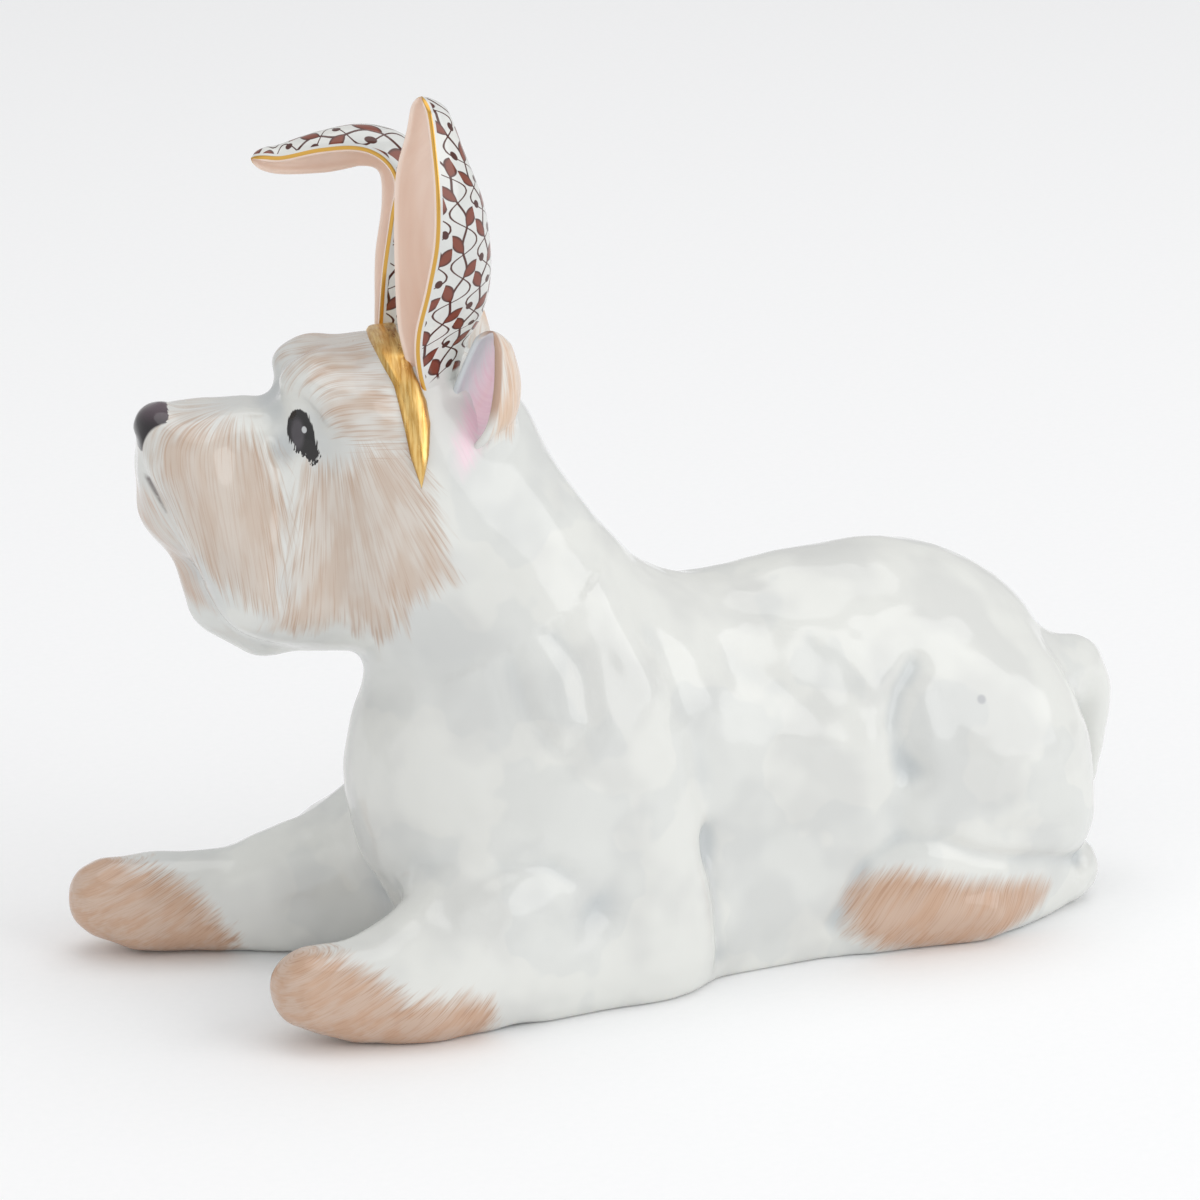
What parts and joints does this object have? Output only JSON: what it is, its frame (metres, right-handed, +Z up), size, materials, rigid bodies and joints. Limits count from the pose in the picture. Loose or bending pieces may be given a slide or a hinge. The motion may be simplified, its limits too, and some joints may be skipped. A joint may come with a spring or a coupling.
{
  "type": "dog figurine",
  "caption": "Glazed porcelain dog lying down with its head up and turned, wearing a gilt hairband with hare's ears; a shelf ornament.",
  "frame": {"origin": "on the surface that the dog lies on, under the middle of its bounding box", "axes": "-X the way the body points, -Y the dog's left side, +Z up"},
  "size_m": [0.1314, 0.0566, 0.1121],
  "materials": {
    "white_glaze": "cool white hard-paste porcelain under a clear glossy glaze, slightly wavy",
    "fur_paint": "white glaze hand painted with fine beige brush strokes for the fur",
    "ear_paint": "glossy glaze, pale peach inside, painted in reddish brown on white outside, with a gilt rim",
    "gold": "burnished gold over glaze, with brush marks"
  },
  "bodies": {
    "root": {"torso": "white_glaze", "head": "fur_paint", "left_foreleg": "fur_paint", "right_foreleg": "fur_paint", "tail": "white_glaze", "left_dog_ear": "fur_paint", "right_dog_ear": "fur_paint", "hairband": "gold", "left_hare_ear": "ear_paint", "right_hare_ear": "ear_paint"}
  },
  "joints": []
}
